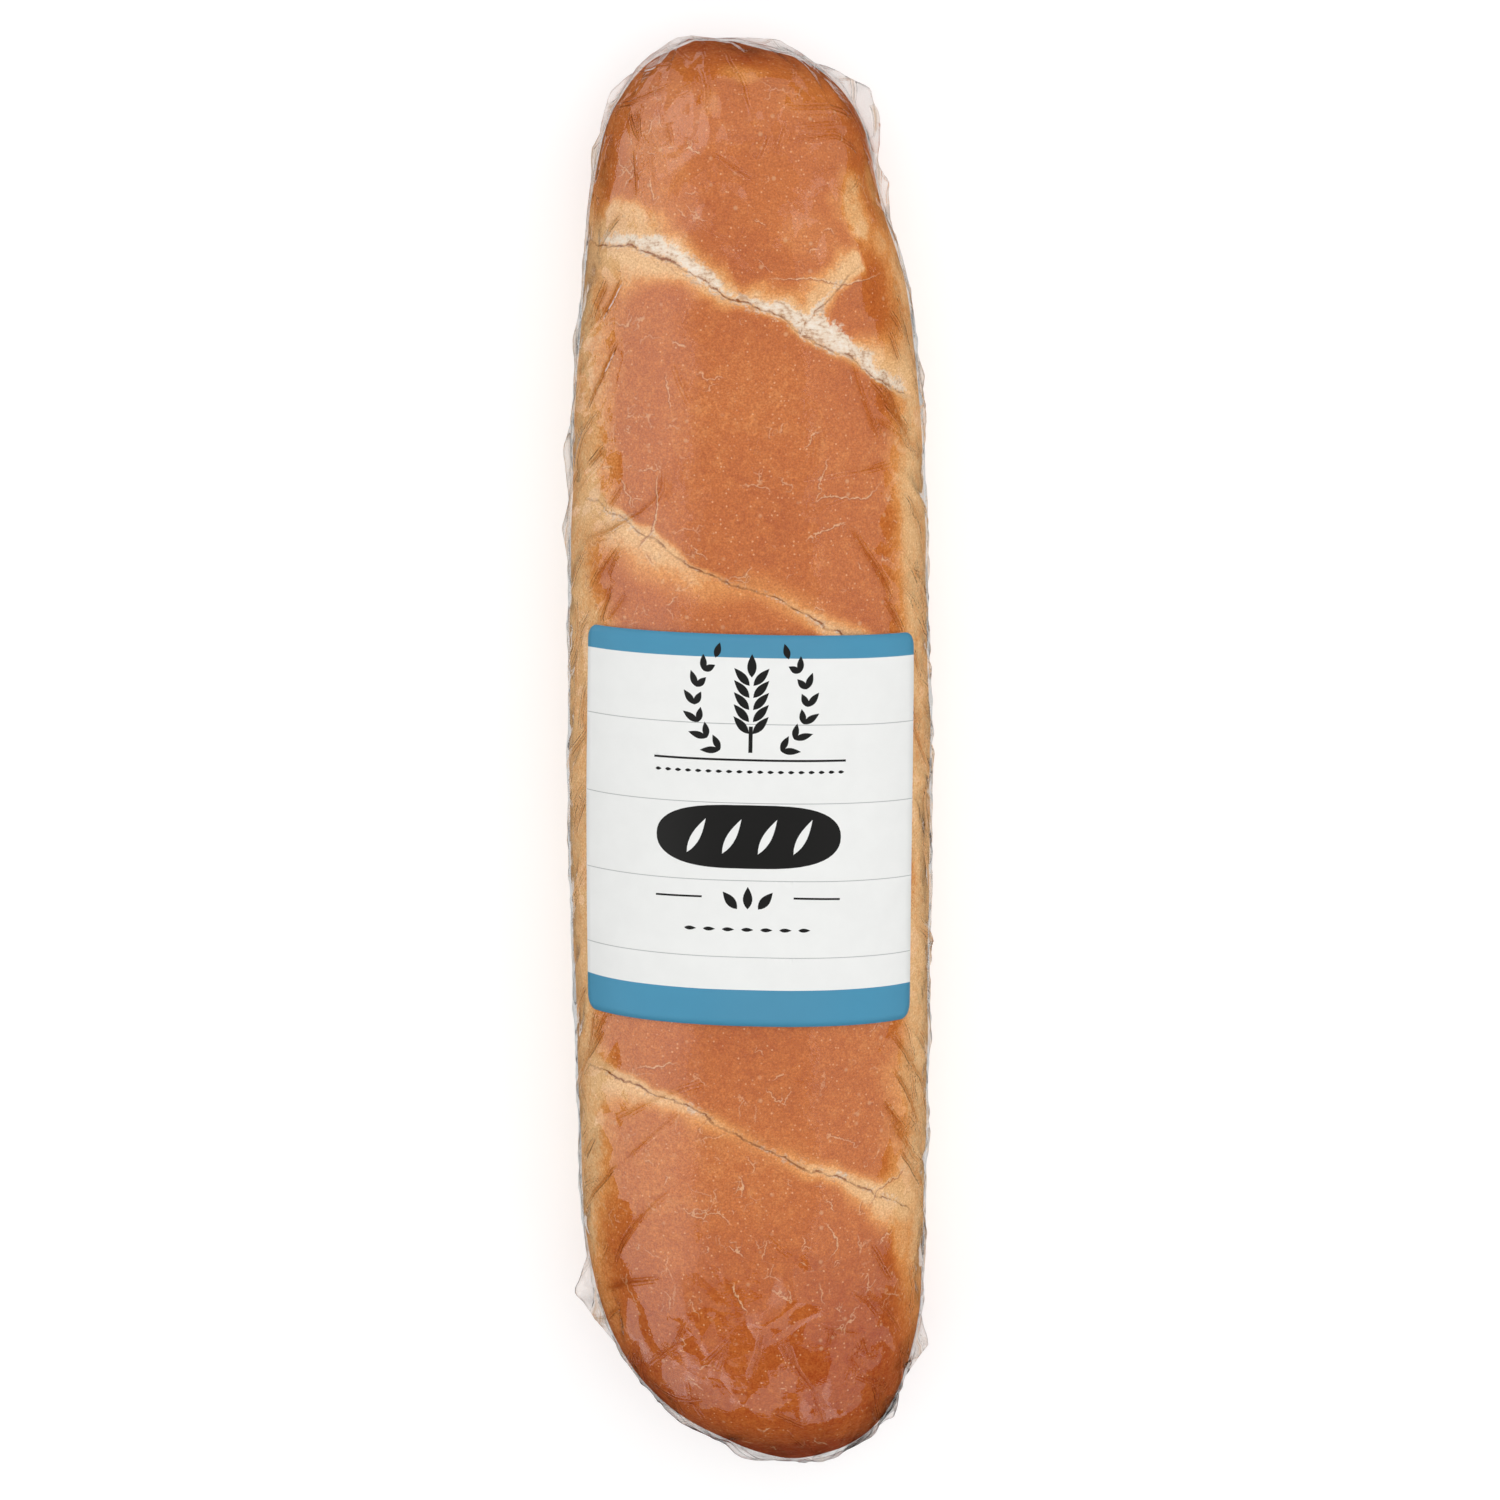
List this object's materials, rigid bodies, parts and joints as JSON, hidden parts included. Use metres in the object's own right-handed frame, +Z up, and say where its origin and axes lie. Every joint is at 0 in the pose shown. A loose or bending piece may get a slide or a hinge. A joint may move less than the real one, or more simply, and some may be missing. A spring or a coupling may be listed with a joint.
{
  "type": "wrapped baguette loaf",
  "caption": "Long soft French loaf with slashes across its domed top, shrink-wrapped in clear film with a wrap-over paper label, lying on its flat base.",
  "frame": {"origin": "under the middle of the wrapped loaf's box, on the surface that it lies on", "axes": "Y runs along the loaf, with +Y to its narrower end and the top of the label; X across it; +Z up, out of the slashed top"},
  "size_m": [0.1026, 0.4018, 0.069],
  "materials": {
    "crust": "matte",
    "film": "gloss",
    "label_paper": "satin"
  },
  "bodies": {
    "root": {"loaf": "crust", "wrap_film": "film", "label": "label_paper"}
  },
  "joints": []
}
